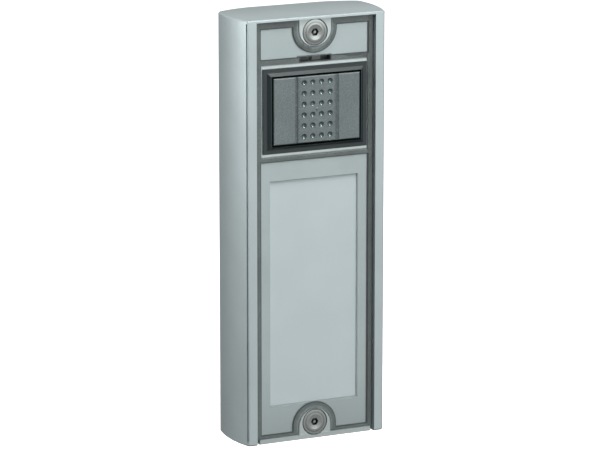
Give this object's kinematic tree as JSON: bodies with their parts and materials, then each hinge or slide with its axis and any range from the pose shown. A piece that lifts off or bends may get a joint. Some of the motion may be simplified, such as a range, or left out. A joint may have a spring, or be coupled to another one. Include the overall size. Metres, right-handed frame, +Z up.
{
  "type": "door call station",
  "caption": "Tall narrow surface-mounted door call station: bowed silver housing, clear window cover with a dark ladder seal, lit name card and a large dimpled push button.",
  "frame": {"origin": "centre of the flat wall face of the housing, at mid height and mid width", "axes": "+Z up along the housing, +X to the right as the viewer sees the front, +Y into the wall; the front looks along -Y"},
  "size_m": [0.0674, 0.0328, 0.18],
  "materials": {
    "silver_painted_aluminium": "satin silver metallic coat on an aluminium profile",
    "silver_chassis": "satin silver metallic coat on a die-cast chassis",
    "zinc_posts": "turned and zinc-plated",
    "stainless_screws": "turned stainless steel, domed",
    "small_screws": "zinc-plated",
    "black_rubber": "matt black rubber",
    "clear_cover": "clear, glossy, slightly grey polycarbonate",
    "dark_seal": "dark grey seal",
    "white_card": "blank white card",
    "opal_plastic": "opal diffuser plastic",
    "black_bezel": "satin black plastic",
    "grey_button": "fine-textured dark grey plastic",
    "black_inner_plastic": "moulded black plastic",
    "white_plunger": "natural white acetal",
    "spring_steel": "bright spring steel",
    "board_laminate": "brown paper-based laminate with solder resist",
    "led_lens": "light source with a pale yellow lens",
    "grey_sensor": "grey moulded sensor body",
    "green_terminal": "moulded green plastic"
  },
  "bodies": {
    "station": {"housing_profile": "silver_painted_aluminium", "top_end_cap": "silver_painted_aluminium", "bottom_end_cap": "silver_painted_aluminium", "chassis": "silver_chassis", "chassis_posts": "zinc_posts", "cover_screws": "stainless_screws", "screw_seals": "black_rubber", "window_cover": "clear_cover", "cover_gasket": "dark_seal", "name_card": "white_card", "card_diffuser": "opal_plastic", "button_bezel": "black_bezel", "bezel_gasket": "black_rubber", "key_guide": "black_inner_plastic", "guide_screws": "small_screws", "return_springs": "spring_steel", "switch_body": "black_inner_plastic", "circuit_board": "board_laminate", "board_screws": "small_screws", "leds": "led_lens", "light_sensor": "grey_sensor", "sensor_holder": "grey_button", "terminal_block": "green_terminal", "terminal_screws": "small_screws", "cable_grommet": "black_rubber"},
    "button": {"button_cap": "grey_button", "button_stem": "black_inner_plastic", "stem_clip": "spring_steel"},
    "plunger": {"switch_plunger": "white_plunger"}
  },
  "joints": [
    {"name": "button_press", "type": "slide", "parent": "station", "child": "button", "axis": [0, 1, 0], "range_m": [0, 0.0012], "stiffness_N_per_m": 900, "springref_m": -0.0015, "deforming": ["return_springs"]},
    {"name": "plunger_travel", "type": "slide", "parent": "station", "child": "plunger", "axis": [0, 1, 0], "range_m": [0, 0.0012], "stiffness_N_per_m": 300, "springref_m": -0.0005}
  ],
  "couplings": [
    {"joint": "plunger_travel", "follows": "button_press", "ratio": 1}
  ]
}
